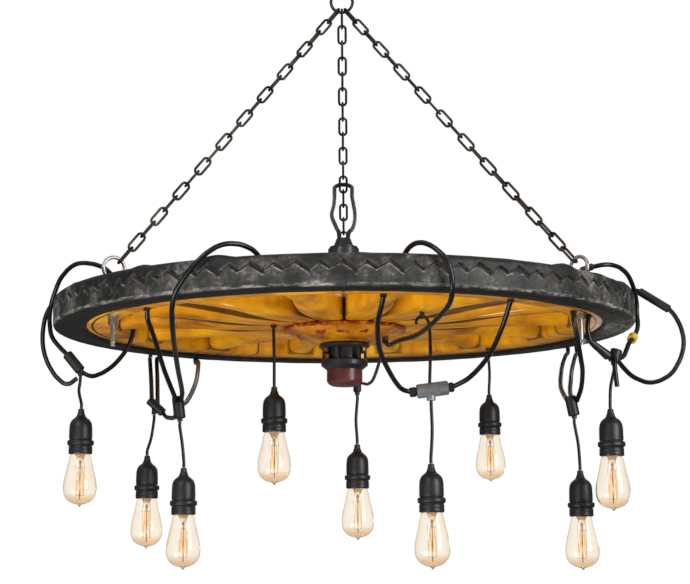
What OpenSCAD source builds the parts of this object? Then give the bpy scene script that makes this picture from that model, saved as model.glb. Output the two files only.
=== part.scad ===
// Wagon wheel chandelier: a wooden artillery wheel hung flat on three chains,
// with nine drop lamps on a cable draped over its tyre.
// Origin: where a ceiling hook bears inside the top ring. +Z is up and the front is -Y.

/* [Tyre and rim] */
// Outer radius of the tyre
tyre_r = 567; // [540:1:600]
// Thickness of the tyre from its outside to the rim
tyre_thick = 57; // [40:1:65]
// Height of the tyre
tyre_h = 58; // [54:1:70]
// Rounding of the tyre's upper outer edge
tyre_round = 9; // [4:0.5:14]
// Rounding of the tyre's lower outer edge
tyre_low_round = 4; // [2:0.5:9]
// Depth of the groove round the tread
tread_groove = 4; // [2:0.5:8]
// Thickness of the steel rim band
rim_t = 4; // [2:0.5:6]
// Height of the wooden felloes
felloe_h = 48; // [42:1:52]
// Thickness of the felloes, measured outwards
felloe_t = 63; // [50:1:75]
// Number of felloes
felloes_n = 7; // [7:1:8]

/* [Spokes] */
// Width of a spoke where it swells beside the hub
spoke_swell_w = 80; // [70:1:82]
// Width of a spoke at its waist
spoke_waist_w = 48; // [36:1:56]
// Thickness of a spoke at its waist
spoke_waist_h = 38; // [30:1:42]
// Thickness of the spoke roots between the hub flanges
spoke_root_h = 44; // [36:1:46]
// Diameter of a spoke's tenon in its felloe
tenon_d = 22; // [16:1:28]
// Length of the tenon
tenon_l = 40; // [25:1:48]

/* [Hub] */
// Radius of the hub flanges
flange_r = 122; // [112:1:130]
// Outer radius of the iron hub barrel
barrel_r = 32; // [28:0.5:36]
// Bore radius of the barrel
barrel_bore_r = 22; // [14:0.5:24]
// Radius of the cast iron disc against each flange
casting_r = 50; // [44:1:56]
// Radius of the collar below the casting
collar_r = 46; // [42:1:52]
// Radius of the hub cap
cap_r = 35; // [30:0.5:38]
// Height of the hub cap
cap_h = 33; // [24:1:45]

/* [Hanging] */
// Outside diameter of the top ring
ring_od = 50; // [44:1:70]
// Wire of the top ring
ring_wire = 6; // [5:0.5:7]
// Wire of a chain link
link_wire = 5; // [4:0.25:5.5]
// Inside length of a chain link
link_in = 35; // [30:1:45]
// Outside width of a chain link
link_w = 20; // [19:0.5:24]
// Links in each chain
links_n = 21; // [18:1:25]
// Outside diameter of an eye bolt's eye
eye_od = 48; // [40:1:60]
// Wire of an eye bolt's eye
eye_wire = 7; // [6:0.5:8]
// Shank diameter of an eye bolt
shank_d = 9; // [8:0.5:10]
// Length of shank below the felloes
shank_below = 58; // [30:1:80]

/* [Cables and lamps] */
// Diameter of the main cable
cable_d = 9; // [8:0.25:10]
// Diameter of the drop cords
drop_d = 6; // [5:0.25:6.5]
// Height of a lamp socket
socket_h = 88; // [80:1:100]
// Radius of the socket's body
socket_r = 22.8; // [21:0.2:25]
// Radius of the bead round the socket
bead_r = 25.6; // [25:0.2:28]
// Diameter of a bulb
bulb_d = 64; // [58:1:70]
// Length of the bulb below its socket
bulb_h = 101; // [90:1:115]
// Diameter of the bulb's screw base
base_d = 26; // [24:0.5:27]
// Thickness of the bulb's glass
glass_t = 1.2; // [0.8:0.1:2]

/* [Hidden] */

iron = "#2b2b2d";
zinc = "#b9bcc0";
yellow = "#e3a21c";
rubber = "#47484a";
black = "#1d1d1f";
brass = "#c9a34e";
cap_red = "#6d1f1c";
glass = "#f3e2c4";

fit = 0.3;              // clearance between pieces that touch
mid_z = tyre_h / 2;     // middle plane of the wheel, above its lower face
spokes_n = 2 * felloes_n;
felloe_a = 360 / felloes_n;
rim_in_r = tyre_r - tyre_thick - rim_t;
felloe_out_r = rim_in_r - fit;
felloe_in_r = felloe_out_r - felloe_t;
felloe_low = mid_z - felloe_h / 2;
felloe_top = mid_z + felloe_h / 2;
root_low = mid_z - spoke_root_h / 2;
root_top = mid_z + spoke_root_h / 2;

function unit(v) = v / norm(v);
function lerp(a, b, t) = a + (b - a) * t;
function front_dir(a) = [sin(a), -cos(a), 0];   // a degrees round from the front

// Hanging geometry, worked out from the chain.
ring_mid_r = (ring_od - ring_wire) / 2;
ring_c = [0, 0, -(ring_mid_r - ring_wire / 2)];
ring_spread = 25;       // degrees between the chains' places on the ring
eye_mid_r = (eye_od - eye_wire) / 2;
eye_r = felloe_in_r + felloe_t / 2 + 6;
nut_h = 8;
washer_t = 2;
eye_z = felloe_top + washer_t + nut_h + 5 + eye_od / 2;
pull_a = 50;            // slope of the chains
chain_reach = (links_n - 1) * (link_in - fit) + link_in - ring_wire / 2 - eye_wire / 2 - 2 * fit;
pull_r = eye_r - eye_mid_r * cos(pull_a);
pull_z = eye_z + eye_mid_r * sin(pull_a);
ring_low_z = ring_c[2] - ring_mid_r;
wheel_drop = sqrt(chain_reach * chain_reach - pull_r * pull_r) + pull_z - ring_low_z;

// Each chain: angle of its eye round from the front, its place on the ring, turn of its eye.
chain_left_set = [-62, -ring_spread, 0];
chain_right_set = [66, ring_spread, 25];
chain_rear_set = [180, 0, 90];
chain_sets = [chain_left_set, chain_right_set, chain_rear_set];

// Cable routes, in the wheel's own height: z = 0 is the tyre's lower face. They are drawn round a tyre
// of 567 mm radius, and move out or in with another one, less and less towards the hub.
function round_tyre(points) = [for (p = points)
  let (r = norm([p[0], p[1]]), k = 1 + (tyre_r - 567) * min(1, r / felloe_in_r) / max(r, 1))
  [p[0] * k, p[1] * k, p[2]]];

loop_left_a = round_tyre([[-430, -170, 57], [-430, -180, 78], [-446, -184, 98], [-478, -165, 112],
  [-516, -118, 118], [-548, -78, 100], [-565, -55, 72], [-574, -45, 45], [-575, -42, 12],
  [-569, -40, -14], [-554, -40, -32], [-540, -40, -46]]);
loop_left_b = round_tyre([[-513, -40, -79], [-492, -22, -86], [-465, 18, -66], [-441, 40, -34],
  [-427, 46, -2], [-425, 50, 32], [-438, 58, 62], [-465, 64, 82], [-505, 50, 92], [-548, 30, 90],
  [-576, 16, 70], [-590, 0, 40], [-594, -10, 10], [-592, -20, -24], [-582, -28, -56], [-562, -34, -88],
  [-538, -38, -103], [-520, -40, -92]]);
drape_front_a = round_tyre([[-138, -468, 57], [-150, -486, 74], [-176, -508, 82], [-208, -522, 76],
  [-241, -526, 50], [-272, -512, 14], [-286, -490, -16], [-291, -430, -58], [-297, -300, -100],
  [-302, -170, -134], [-312, -124, -146]]);
drape_front_b = round_tyre([[-351, -313, 2], [-350, -304, -16], [-342, -268, -46], [-332, -205, -94],
  [-320, -150, -134], [-316, -124, -148]]);
drape_rear_c = round_tyre([[-312, -118, -154], [-303, -60, -138], [-299, 60, -92], [-312, 250, -34],
  [-331, 420, -8], [-340, 470, -4], [-340, 470, 14]]);
pair_a = round_tyre([[-398, 152, -124], [-410, 230, -66], [-428, 350, -12], [-432, 386, -6],
  [-430, 383, 14]]);
pair_b = round_tyre([[-386, 152, -133], [-398, 240, -62], [-413, 350, -12], [-416, 403, -6],
  [-412, 400, 14]]);
pair_c = round_tyre([[-376, 150, -144], [-364, 120, -156], [-348, 40, -164], [-332, -40, -170],
  [-313, -118, -166]]);
front_loop = round_tyre([[98, -462, 57], [104, -478, 70], [118, -508, 80], [138, -538, 74],
  [162, -556, 52], [174, -556, 28], [177, -548, -4], [173, -510, -24], [152, -400, -39],
  [131, -270, -42], [103, -160, -38], [86, -60, -34], [80, -32, -24]]);
tee_feed_a = round_tyre([[67, -452, 1], [65, -446, -10], [58, -410, -40], [62, -350, -78],
  [82, -290, -114], [102, -246, -136], [122, -231, -142]]);
tee_feed_b = round_tyre([[196, -230, -133], [226, -256, -118], [256, -306, -86], [275, -352, -45],
  [290, -382, 2]]);
tee_feed_c = round_tyre([[133, -205, -14], [135, -206, -4], [144, -207, 1], [153, -208, -5],
  [157, -210, -18], [158, -216, -60], [155, -228, -125]]);
hub_feed_a = round_tyre([[64, -335, -88], [58, -240, -104], [52, -150, -112], [46, -80, -111],
  [42, -20, -106], [37, 34, -99], [27, 58, -96]]);
hub_feed_b = [[25, 60, -26], [25, 60, -92]];
right_feed_a = round_tyre([[432, -57, -150], [432, 50, -108], [456, 200, -53], [476, 280, -18],
  [486, 309, -4], [484, 307, 14]]);
right_feed_b = round_tyre([[438, -56, -146], [446, 20, -118], [458, 90, -92], [476, 190, -56],
  [496, 270, -18], [502, 287, -4], [499, 286, 14]]);
right_feed_c = round_tyre([[446, -66, -146], [450, -100, -124], [446, -150, -98], [438, -188, -80],
  [431, -212, -58], [425, -228, -34], [420, -235, -12], [420, -235, 2]]);
right_edge_a = round_tyre([[440, -118, 57], [442, -128, 78], [455, -140, 96], [480, -146, 103],
  [510, -140, 106], [540, -105, 99], [560, -70, 80], [571, -48, 50], [572, -44, 24], [570, -56, -4],
  [558, -80, -22], [542, -106, -42], [528, -134, -66], [512, -155, -76]]);
right_edge_b = round_tyre([[456, -180, 2], [453, -182, -22], [459, -180, -46], [476, -172, -62],
  [494, -164, -72], [506, -159, -76]]);
right_edge_c = round_tyre([[503, -172, -74], [502, -178, -94], [505, -178, -130]]);
right_loop = round_tyre([[470, 15, 57], [486, 12, 68], [520, 4, 74], [556, -6, 76], [583, -14, 75],
  [612, -19, 57], [640, -24, 36], [658, -30, 4], [662, -38, -32], [652, -46, -64], [628, -62, -96],
  [586, -90, -114], [545, -126, -106], [520, -150, -88], [512, -158, -80]]);

// The loop hooked round the rear chain is drawn for a chain that is 269 mm out at this height.
chain_y = pull_r * (ring_low_z + wheel_drop - 342) / (ring_low_z + wheel_drop - pull_z);
chain_loop = [for (p = [[-8, 0, 184], [-8, 2, 196], [-15, 40, 220], [-24, 100, 256], [-20, 165, 292],
  [-19, 222, 324], [-19, 250, 343], [-18, 262, 352], [-14, 271, 358], [-8, 276, 361], [0, 278, 362],
  [8, 276, 361], [14, 271, 358], [18, 262, 352], [19, 250, 343], [19, 222, 322], [24, 130, 265],
  [20, 50, 222], [8, 2, 196], [8, 0, 184]])
  [p[0], p[1] * chain_y / 269, p[2]]];

// Clips that hold the cable ends to the wood.
clip_d = 12;
clip_h = 5 - fit;
swing_gap = drop_d / 2 * sin(12) + 0.1;    // lets a drop cord's end turn through its swing
felloe_drop_z = felloe_low - fit - clip_h - swing_gap;
spoke_drop_z = root_low - fit - clip_h - swing_gap;

// Each drop lamp: where its cord leaves its connector, then the cord's way to the socket.
drops = [for (d = [
  [[-514, -40, -88], [-516, -40, -118], [-511, -40, -151]],
  [[-393, 150, -149], [-398, 150, -195], [-406, 150, -232]],
  [[-311, -120, -184], [-306, -120, -228], [-303, -120, -270]],
  [[-137, -60, spoke_drop_z], [-136, -60, -60], [-136, -60, -113]],
  [[25, 60, -120], [22, 60, -170], [24, 60, -218]],
  [[157, -230, -158], [158, -230, -214], [155, -230, -271]],
  [[314, 330, felloe_drop_z], [316, 330, -50], [314, 330, -96]],
  [[441, -60, -180], [447, -60, -229], [449, -60, -278]],
  [[503, -160, -88], [496, -160, -128], [494, -160, -169]]
]) round_tyre(d)];

// Places on the felloes stay on the wood when its width changes.
function on_felloe(p) = let (r = norm([p[0], p[1]]))
  [p[0], p[1]] / r * max(felloe_in_r + clip_d / 2 + 1, min(felloe_out_r - clip_d / 2 - 1, r));
under_clips = [drape_front_b[0], tee_feed_a[0], tee_feed_b[4], right_feed_c[6], right_edge_b[0], drops[6][0]];
top_clips = [loop_left_a[0], drape_front_a[0], front_loop[0], right_edge_a[0], right_loop[0]];
outer_clips = [drape_rear_c[6], pair_a[4], pair_b[4], right_feed_a[5], right_feed_b[6]];

// A tube of even thickness along a route, with its rings carried without twist.
function tangents(p) = [for (i = [0:len(p) - 1])
  unit(p[min(i + 1, len(p) - 1)] - p[max(i - 1, 0)])];
function any_normal(t) = unit(abs(t[2]) < 0.8 ? cross(t, [0, 0, 1]) : cross(t, [1, 0, 0]));
function carried(t) = [for (i = 0, n = any_normal(t[0]); i < len(t);
  i = i + 1, n = i < len(t) ? unit(n - (n * t[i]) * t[i]) : n) n];
module tube(p, d, sides) {
  t = tangents(p);
  n = carried(t);
  last = len(p) - 1;
  points = [for (i = [0:last]) for (k = [0:sides - 1])
    p[i] + d / 2 * (cos(360 * k / sides) * n[i] + sin(360 * k / sides) * cross(t[i], n[i]))];
  walls = [for (i = [0:last - 1]) for (k = [0:sides - 1]) for (half = [0, 1])
    let (a = i * sides + k, b = i * sides + (k + 1) % sides)
    half == 0 ? [a, a + sides, b] : [b, a + sides, b + sides]];
  first_cap = [for (k = [1:sides - 2]) [0, k, k + 1]];
  last_cap = [for (k = [1:sides - 2]) [last * sides, last * sides + k + 1, last * sides + k]];
  polyhedron(points, concat(walls, first_cap, last_cap));
}

module at_wheel() {
  translate([0, 0, -wheel_drop]) children();
}

module cable(p) {
  color(black) at_wheel() tube(p, cable_d, 8);
}

module torus(mid_r, wire) {
  rotate_extrude($fn = 48) translate([mid_r, 0]) circle(d = wire, $fn = 24);
}

// Hanging ring, chains and eye bolts
module hanging_ring() {
  color(iron) translate(ring_c) rotate([90, 0, 0]) torus(ring_mid_r, ring_wire);
}

module link() {
  bend_r = (link_w - link_wire) / 2;
  straight = link_in - 2 * (bend_r - link_wire / 2);
  for (end = [0, 1]) rotate([0, 180 * end, 0]) {
    translate([0, 0, straight / 2]) rotate([90, 0, 0])
      rotate_extrude(angle = 180, $fn = 32) translate([bend_r, 0]) circle(d = link_wire, $fn = 20);
    translate([bend_r, 0, -straight / 2]) cylinder(d = link_wire, h = straight, $fn = 20);
  }
}

function eye_centre(set) = eye_r * front_dir(set[0]) + [0, 0, eye_z - wheel_drop];
function eye_normal(set) = front_dir(set[0] + 90 - set[2]);
function ring_point(set) = ring_c + ring_mid_r * [sin(set[1]), 0, -cos(set[1])];
function in_plane(v, n) = unit(v - (v * n) * n);
function eye_point(set) = eye_centre(set)
  + eye_mid_r * in_plane(ring_point(set) - eye_centre(set), eye_normal(set));

module chain(set) {
  top = ring_point(set);
  low = eye_point(set);
  u = unit(low - top);
  reach = norm(low - top);
  first = link_in / 2 - ring_wire / 2 - fit;
  last = link_in / 2 - eye_wire / 2 - fit;
  pitch = (reach - first - last) / (links_n - 1);
  w_top = unit(cross(u, [cos(set[1]), 0, sin(set[1])]));
  eye_tangent = unit(cross(eye_normal(set), low - eye_centre(set)));
  w_eye = unit(cross(u, eye_tangent));
  w_low = w_eye * w_top < 0 ? -w_eye : w_eye;
  for (i = [0:links_n - 1]) {
    w = in_plane(lerp(w_top, w_low, i / (links_n - 1)), u);
    n = cross(u, w);
    x = i % 2 == 0 ? w : n;
    y = i % 2 == 0 ? n : -w;
    c = top + u * (first + i * pitch);
    multmatrix([[x[0], y[0], u[0], c[0]], [x[1], y[1], u[1], c[1]], [x[2], y[2], u[2], c[2]], [0, 0, 0, 1]])
      link();
  }
}

module chain_left() { color(iron) chain(chain_left_set); }
module chain_right() { color(iron) chain(chain_right_set); }
module chain_rear() { color(iron) chain(chain_rear_set); }

module eye_bolts() {
  shank_top = eye_z - eye_od / 2 + eye_wire / 2;
  color(zinc) for (set = chain_sets) translate(eye_centre(set)) {
    rotate([0, 0, set[0] - set[2]]) rotate([0, 90, 0]) torus(eye_mid_r, eye_wire);
    translate([0, 0, felloe_low - shank_below - eye_z])
      cylinder(d = shank_d, h = shank_top - felloe_low + shank_below, $fn = 32);
  }
}

module nut(across) {
  difference() {
    cylinder(d = across / cos(30), h = nut_h, $fn = 6);
    translate([0, 0, -1]) cylinder(d = shank_d + 2 * fit, h = nut_h + 2, $fn = 32);
  }
}

module washer() {
  difference() {
    cylinder(d = 2.6 * shank_d, h = washer_t, $fn = 32);
    translate([0, 0, -1]) cylinder(d = shank_d + 2 * fit, h = washer_t + 2, $fn = 32);
  }
}

module eye_nuts() {
  stack = [felloe_low - washer_t, felloe_top];
  nuts = [felloe_low - washer_t - nut_h, felloe_top + washer_t];
  lock_nut_low = felloe_low - washer_t - 2 * nut_h;
  end_nut_low = felloe_low - shank_below + 2;
  color(zinc) at_wheel() for (set = chain_sets) translate(eye_r * front_dir(set[0])) {
    for (z = stack) translate([0, 0, z]) washer();
    for (z = nuts) translate([0, 0, z]) nut(16);
    translate([0, 0, set == chain_right_set ? end_nut_low : lock_nut_low]) nut(16);
  }
}

// Wheel
module tyre() {
  in_r = tyre_r - tyre_thick;
  bead = tyre_round;
  low = tyre_low_round;
  color(rubber) at_wheel() rotate_extrude($fn = 180) difference() {
    polygon([[in_r, bead / 2], [in_r + bead / 2, 0], [tyre_r - low, 0], [tyre_r - low * 0.3, low * 0.3],
      [tyre_r, low], [tyre_r, tyre_h - bead], [tyre_r - bead * 0.3, tyre_h - bead * 0.3],
      [tyre_r - bead, tyre_h], [in_r + bead / 2, tyre_h], [in_r, tyre_h - bead / 2]]);
    translate([tyre_r, mid_z + 5])
      polygon([[1, -tread_groove], [-tread_groove, -tread_groove / 2], [-tread_groove, tread_groove / 2],
        [1, tread_groove]]);
  }
}

module rim_band() {
  band_low = felloe_low - 1;
  color(iron) at_wheel() translate([0, 0, band_low]) difference() {
    cylinder(r = tyre_r - tyre_thick - fit, h = felloe_h + 2, $fn = 180);
    translate([0, 0, -1]) cylinder(r = rim_in_r, h = felloe_h + 4, $fn = 180);
  }
}

function spoke_angle(i) = (i + 0.5) * 360 / spokes_n;

module felloes() {
  chamfer = 6;
  gap_a = fit / felloe_in_r * 57.3;
  color(yellow) at_wheel() difference() {
    for (i = [0:felloes_n - 1]) rotate([0, 0, -90 + gap_a / 2 + i * felloe_a])
      rotate_extrude(angle = felloe_a - gap_a, $fn = 180)
        polygon([[felloe_in_r + chamfer, felloe_low], [felloe_out_r, felloe_low], [felloe_out_r, felloe_top],
          [felloe_in_r + chamfer, felloe_top], [felloe_in_r, felloe_top - chamfer],
          [felloe_in_r, felloe_low + chamfer]]);
    for (i = [0:spokes_n - 1]) rotate([0, 0, spoke_angle(i) - 90]) translate([felloe_in_r - 1, 0, mid_z])
      rotate([0, 90, 0]) cylinder(d = tenon_d + 2 * fit, h = tenon_l + 2, $fn = 32);
    for (set = chain_sets) translate(eye_r * front_dir(set[0]) + [0, 0, felloe_low - 1])
      cylinder(d = shank_d + 2 * fit, h = felloe_h + 2, $fn = 32);
  }
}

// Spoke sections: distance from the axis, width, thickness, squareness.
root_in_r = 62;
touch_r = 190;
function touch_w(r) = 2 * r * tan(180 / spokes_n) - 2 * fit;
spoke_end_w = spoke_waist_w + 6;
spoke_end_r = sqrt(pow(felloe_in_r, 2) - pow(spoke_end_w / 2, 2)) - fit;
spoke_sections = [
  [root_in_r, touch_w(root_in_r), spoke_root_h, 6],
  [flange_r + 4, touch_w(flange_r + 4), spoke_root_h, 6],
  [touch_r, min(touch_w(touch_r), spoke_swell_w + 4), spoke_root_h, 4],
  [touch_r + 42, spoke_swell_w, lerp(spoke_root_h, spoke_waist_h, 0.3), 3],
  [touch_r + 90, lerp(spoke_swell_w, spoke_waist_w, 0.6), lerp(spoke_root_h, spoke_waist_h, 0.7), 2.5],
  [touch_r + 145, spoke_waist_w, spoke_waist_h, 2.2],
  [felloe_in_r - 40, spoke_waist_w, spoke_waist_h, 2.2],
  [spoke_end_r, spoke_end_w, spoke_waist_h + 2, 2.6]
];
spoke_sides = 20;
function power(v, n) = sign(v) * pow(abs(v), 2 / n);
module spoke() {
  last = len(spoke_sections) - 1;
  points = [for (s = spoke_sections) for (k = [0:spoke_sides - 1])
    let (a = 360 * (k + 0.5) / spoke_sides)
    [s[0], s[1] / 2 * power(cos(a), s[3]), s[2] / 2 * power(sin(a), s[3])]];
  walls = [for (i = [0:last - 1]) for (k = [0:spoke_sides - 1]) for (half = [0, 1])
    let (a = i * spoke_sides + k, b = i * spoke_sides + (k + 1) % spoke_sides)
    half == 0 ? [a, a + spoke_sides, b] : [b, a + spoke_sides, b + spoke_sides]];
  in_cap = [for (k = [1:spoke_sides - 2]) [0, k, k + 1]];
  first_out = last * spoke_sides;
  out_cap = [for (k = [1:spoke_sides - 2]) [first_out, first_out + k + 1, first_out + k]];
  polyhedron(points, concat(walls, in_cap, out_cap));
  translate([felloe_in_r - 6, 0, 0]) rotate([0, 90, 0]) cylinder(d = tenon_d, h = tenon_l, $fn = 32);
}

module spokes() {
  color(yellow) at_wheel() translate([0, 0, mid_z])
    for (i = [0:spokes_n - 1]) rotate([0, 0, spoke_angle(i) - 90]) spoke();
}

// Hub, worked out from the middle plane: sizes are heights below it.
flange_face = spoke_root_h / 2 + fit;
flange_depth = 30;
disc_h = 10;
neck_h = 22;
collar_h = 20;
flange_back = flange_face + flange_depth;
disc_back = flange_back + disc_h;
neck_back = disc_back + neck_h;
collar_back = neck_back + collar_h;
cap_end = collar_back + cap_h;
dish_r = flange_r - 31;
dish_in_r = casting_r + 2;
dish_z = flange_face + 19;
function flange_under(r) = mid_z - lerp(flange_back - 2, dish_z, (r - dish_in_r) / (dish_r - dish_in_r));
module lower_flange() {
  rotate_extrude($fn = 96)
    polygon([[barrel_r + fit, -flange_face], [flange_r - 2, -flange_face], [flange_r, -flange_face - 2],
      [flange_r, -flange_face - 5], [flange_r - 26, -flange_face - 13], [dish_r, -dish_z],
      [dish_in_r, -flange_back + 2], [casting_r, -flange_back], [barrel_r + fit, -flange_back]]);
}

module hub_flanges() {
  color(yellow) at_wheel() translate([0, 0, mid_z]) {
    lower_flange();
    mirror([0, 0, 1]) lower_flange();
  }
}

module hub_barrel() {
  color(iron) at_wheel() translate([0, 0, mid_z - flange_back]) difference() {
    cylinder(r = barrel_r, h = 2 * flange_back, $fn = 64);
    translate([0, 0, -1]) cylinder(r = barrel_bore_r, h = 2 * flange_back + 2, $fn = 64);
  }
}

ribs_n = 6;
module neck_shape() {
  rotate_extrude($fn = 64)
    polygon([[barrel_bore_r, -flange_back - fit], [casting_r - 2, -flange_back - fit],
      [casting_r, -flange_back - 3], [casting_r, -disc_back + 3], [casting_r - 4, -disc_back],
      [barrel_r - 1, -disc_back], [barrel_r - 1, -neck_back], [barrel_bore_r, -neck_back]]);
  for (i = [0:ribs_n - 1]) rotate([0, 0, 360 / ribs_n * i + 10]) translate([barrel_r - 4, -3, -neck_back])
    cube([casting_r - barrel_r - 2, 6, neck_h + 1]);
}

module hub_neck() {
  color(iron) at_wheel() translate([0, 0, mid_z]) neck_shape();
}

module hub_collar() {
  color(iron) at_wheel() translate([0, 0, mid_z]) rotate_extrude($fn = 64)
    polygon([[barrel_bore_r, -neck_back - fit], [collar_r - 3, -neck_back - fit], [collar_r, -neck_back - 3],
      [collar_r, -collar_back + 8], [cap_r + 1, -collar_back], [barrel_bore_r, -collar_back]]);
}

module hub_cap() {
  wall = 4;
  color(cap_red) at_wheel() translate([0, 0, mid_z]) rotate_extrude($fn = 64)
    polygon([[0, -cap_end + wall], [cap_r - 10, -cap_end + wall], [cap_r - wall, -cap_end + 12],
      [cap_r - wall, -collar_back - fit], [cap_r, -collar_back - fit], [cap_r, -cap_end + 10],
      [cap_r - 3, -cap_end + 5], [cap_r - 10, -cap_end + 1], [cap_r - 16, -cap_end], [0, -cap_end]]);
}

top_end = collar_back + cap_h;
module hub_top() {
  color(iron) at_wheel() translate([0, 0, mid_z]) {
    mirror([0, 0, 1]) neck_shape();
    rotate_extrude($fn = 64)
      polygon([[0, neck_back - 1], [collar_r - 3, neck_back - 1], [collar_r, neck_back + 3],
        [collar_r, collar_back - 8], [cap_r + 1, collar_back], [cap_r - 2, collar_back + 4],
        [cap_r - 4, top_end], [0, top_end]]);
  }
}

gland_h = 22;
module cable_gland() {
  color(black) at_wheel() translate([0, 0, mid_z + top_end + fit]) rotate_extrude($fn = 48)
    polygon([[0, 0], [27, 0], [28, 1], [28, 4], [20, 6], [14, gland_h - 1], [13, gland_h - 0.6],
  [0, gland_h - 0.6]]);
}

nut_places = [20, 140, 260];
module brass_nuts() {
  color(brass) at_wheel() translate([0, 0, mid_z]) for (a = nut_places) rotate([0, 0, a - 50]) {
    translate([casting_r - 8, 0, -disc_back - 7 - fit]) cylinder(d = 11, h = 7, $fn = 6);
    translate([collar_r - 8.4, 0, -neck_back]) cylinder(d = 12, h = 9, $fn = 6);
  }
}

// Cable fittings
hook_z = mid_z - lerp(spoke_root_h, spoke_waist_h, 0.5) / 2 + fit;
module hub_clip(p, d) {
  top = flange_under(norm([p[0], p[1]]) - d / 2) - fit;
  translate([p[0], p[1], p[2] - 3]) cylinder(d = d, h = top - p[2] + 3, $fn = 24);
}

module cable_clips() {
  color(black) at_wheel() {
    for (p = under_clips) translate(concat(on_felloe(p), felloe_low - clip_h - fit))
      cylinder(d = clip_d, h = clip_h, $fn = 24);
    translate([drops[3][0][0], drops[3][0][1], root_low - clip_h - fit])
      cylinder(d = clip_d, h = clip_h, $fn = 24);
    for (p = top_clips) translate(concat(on_felloe(p), felloe_top + fit))
      cylinder(d = clip_d, h = 6, $fn = 24);
    for (p = outer_clips) {
      a = atan2(p[1], p[0]);
      rotate([0, 0, a]) translate([tyre_r + fit, -8, p[2] - 3]) cube([14, 16, 10]);
    }
    translate([tee_feed_c[2][0], tee_feed_c[2][1], hook_z - 9]) cylinder(d = 9, h = 9, $fn = 24);
    hub_clip(front_loop[12], clip_d);
    hub_clip(hub_feed_b[0], 10);
  }
}

module barrel_body(a, b, r) {
  v = b - a;
  turn = atan2(v[1], v[0]);
  lean = acos(v[2] / norm(v));
  translate(a) rotate([0, lean, turn]) rotate_extrude($fn = 32)
    polygon([[0, 0], [r - 2, 0], [r, 2], [r, norm(v) - 2], [r - 2, norm(v)], [0, norm(v)]]);
}

// The same from a narrow end to a wide one.
module tapered_body(a, b, ra, rb) {
  v = b - a;
  translate(a) rotate([0, acos(v[2] / norm(v)), atan2(v[1], v[0])]) rotate_extrude($fn = 32)
    polygon([[0, 0], [ra, 0], [rb, norm(v) - 3], [rb - 2, norm(v)], [0, norm(v)]]);
}

module outlet(i) {
  translate(drops[i][0] + [0, 0, swing_gap]) cylinder(d = 2 * drop_d - 2, h = 15, $fn = 24);
}

// Each connector: its two ends and its radius.
connectors = [for (c = [
  [[-541, -40, -44], [-513, -40, -78], 10],
  [[-404, 150, -118], [-374, 150, -146], 9],
  [[-316, -120, -136], [-311, -120, -178], 11],
  [[434, -60, -136], [441, -60, -174], 11],
  [[510, -160, -58], [503, -160, -82], 11],
  [[583, -14, 75], [640, -24, 36], 8],
  [[450, -139, 95], [474, -146, 103], 6.5]
]) concat(round_tyre([c[0], c[1]]), c[2])];
hub_connector = [[25, 60, -92], [25, 60, -114], 8];
edge_sleeve = round_tyre([[459, -180, -46], [494, -164, -72]]);
tee_ends = round_tyre([[131, -230, -141], [189, -230, -134]]);
tee_collar_l = 13;

module inline_connectors() {
  along = unit(tee_ends[1] - tee_ends[0]);
  color(black) at_wheel() {
    for (c = concat(connectors, [hub_connector])) barrel_body(c[0], c[1], c[2]);
    tapered_body(edge_sleeve[0], edge_sleeve[1], 5.5, 9);
    barrel_body(tee_ends[0] - along * (tee_collar_l + fit), tee_ends[0] - along * fit, 9);
    barrel_body(tee_ends[1] + along * fit, tee_ends[1] + along * (tee_collar_l - 3), 9);
    for (i = [0, 1, 2, 4, 7, 8]) outlet(i);
  }
}

module tee_connector() {
  color(zinc) at_wheel() {
    barrel_body(tee_ends[0], tee_ends[1], 13);
    translate(drops[5][0] + [0, 0, swing_gap]) cylinder(r = 8, h = 16, $fn = 32);
  }
}

tag_at = 10;            // place of the tag on the right edge's cable
module cable_tag() {
  along = unit(right_edge_a[tag_at + 1] - right_edge_a[tag_at]);
  color("#e2c21e") at_wheel() difference() {
    translate(right_edge_a[tag_at] + along * 4) rotate([0, acos(along[2]), atan2(along[1], along[0])])
      cylinder(d = 18, h = 14, $fn = 32);
    tube(right_edge_a, cable_d + 1, 8);
  }
}

// Cables
module cable_left_loops() {
  cable(loop_left_a);
  cable(loop_left_b);
}

module cable_left_drapes() {
  cable(drape_front_a);
  cable(drape_front_b);
  cable(drape_rear_c);
}

module cable_pair_links() {
  cable(pair_a);
  cable(pair_b);
  cable(pair_c);
}

module cable_front_loop() { cable(front_loop); }

module cable_tee_feeds() {
  cable(tee_feed_a);
  cable(tee_feed_b);
  color(black) at_wheel() tube(tee_feed_c, drop_d, 8);
}

module cable_hub_feed() {
  color(black) at_wheel() {
    tube(hub_feed_a, drop_d, 8);
    tube(hub_feed_b, drop_d, 8);
  }
}

module cable_right_feeds() {
  cable(right_feed_a);
  cable(right_feed_b);
  cable(right_feed_c);
}

module cable_right_edge() {
  cable(right_edge_a);
  cable(right_edge_b);
  cable(right_edge_c);
}

module cable_right_loop() { cable(right_loop); }
module cable_chain_loop() { cable(chain_loop); }

// Drop lamps
module drop_cord(i) {
  d = drops[i];
  straight = [0, 0, 10];
  color(black) at_wheel() tube([d[0], d[0] - straight, d[1], d[2] + straight, d[2]], drop_d, 8);
}

module at_socket(i) {
  at_wheel() translate(drops[i][2]) children();
}

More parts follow.
